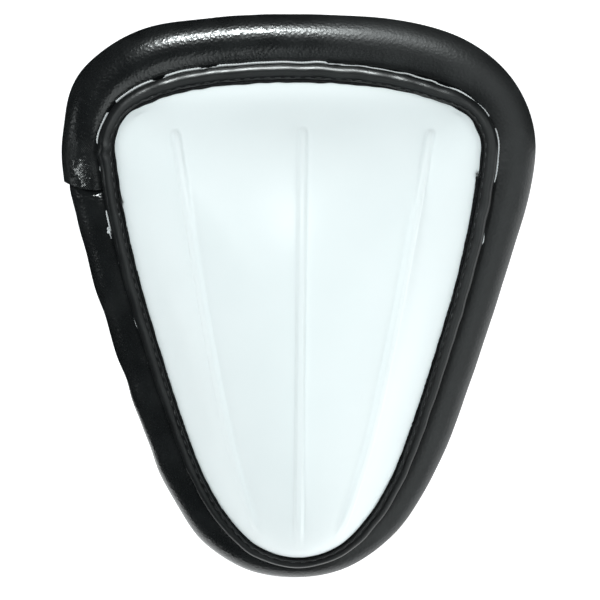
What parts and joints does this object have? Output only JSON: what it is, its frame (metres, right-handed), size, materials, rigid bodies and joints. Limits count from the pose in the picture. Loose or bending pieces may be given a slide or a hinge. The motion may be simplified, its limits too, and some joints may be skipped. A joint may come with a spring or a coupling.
{
  "type": "groin protector",
  "caption": "Rigid ribbed protective cup with a padded roll sewn round its edge by a corded welt and tape, wide at the waist end and narrow at the tip.",
  "frame": {"origin": "on the resting face under the padded rim, in the middle of its outline", "axes": "+Z out of the front of the shell, away from the wearer; +Y to the wide waist end; +X to the right seen from the front"},
  "size_m": [0.1298, 0.1551, 0.0509],
  "materials": {
    "shell_plastic": "satin white moulded plastic",
    "rim_vinyl": "black fine-grained vinyl",
    "foam": "closed-cell foam",
    "welt_vinyl": "black smooth vinyl strip",
    "filler_cord": "twisted cotton",
    "seam_cord": "white twisted cord",
    "tape": "black coated tape",
    "thread": "black sewing thread"
  },
  "bodies": {
    "root": {"cup_shell": "shell_plastic", "rim_foam_core": "foam", "rim_sleeve": "rim_vinyl", "welt_filler_cord": "filler_cord", "welt_cover": "welt_vinyl", "seam_cord": "seam_cord", "inner_tape_upper": "tape", "inner_tape_lower": "tape", "front_stitching": "thread", "back_tape": "tape", "back_stitching": "thread"}
  },
  "joints": []
}
